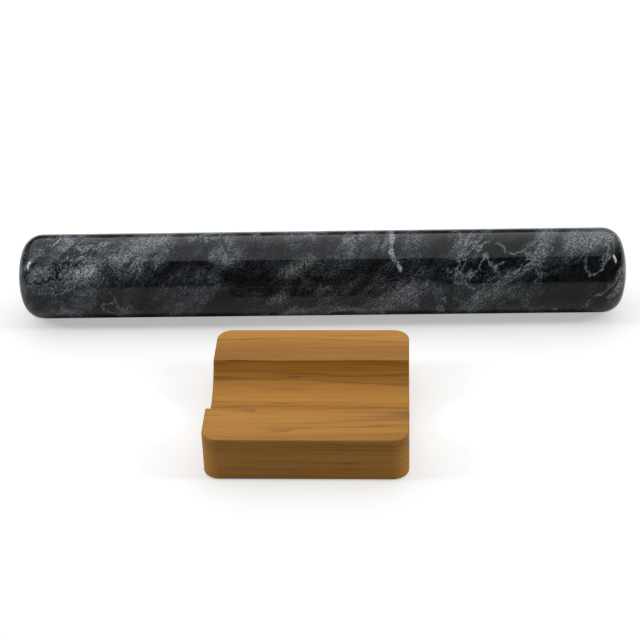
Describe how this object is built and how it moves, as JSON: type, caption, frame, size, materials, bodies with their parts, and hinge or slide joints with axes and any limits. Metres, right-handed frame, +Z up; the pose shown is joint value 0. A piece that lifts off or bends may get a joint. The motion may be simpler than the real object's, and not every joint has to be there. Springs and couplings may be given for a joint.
{
  "type": "marble rolling pin with cradle",
  "caption": "Solid dark-veined marble rolling pin without handles, lying behind the low wooden cradle whose trough stores it.",
  "frame": {"origin": "middle of the cradle's flat underside, on the table", "axes": "+X along the cradle's trough, to the right in the picture; +Y from the cradle towards the roller behind it; +Z up"},
  "size_m": [0.408, 0.2226, 0.057],
  "materials": {
    "wood": "satin",
    "marble": "polished"
  },
  "bodies": {
    "cradle": {"cradle": "wood"},
    "roller": {"roller": "marble"}
  },
  "joints": [
    {"name": "roller_lift", "type": "hinge", "parent": "cradle", "child": "roller", "pos_m": [0.00263, 0.0645, 0.0349], "axis": [1, 0.0096, 0], "range_deg": [0, 180]}
  ]
}
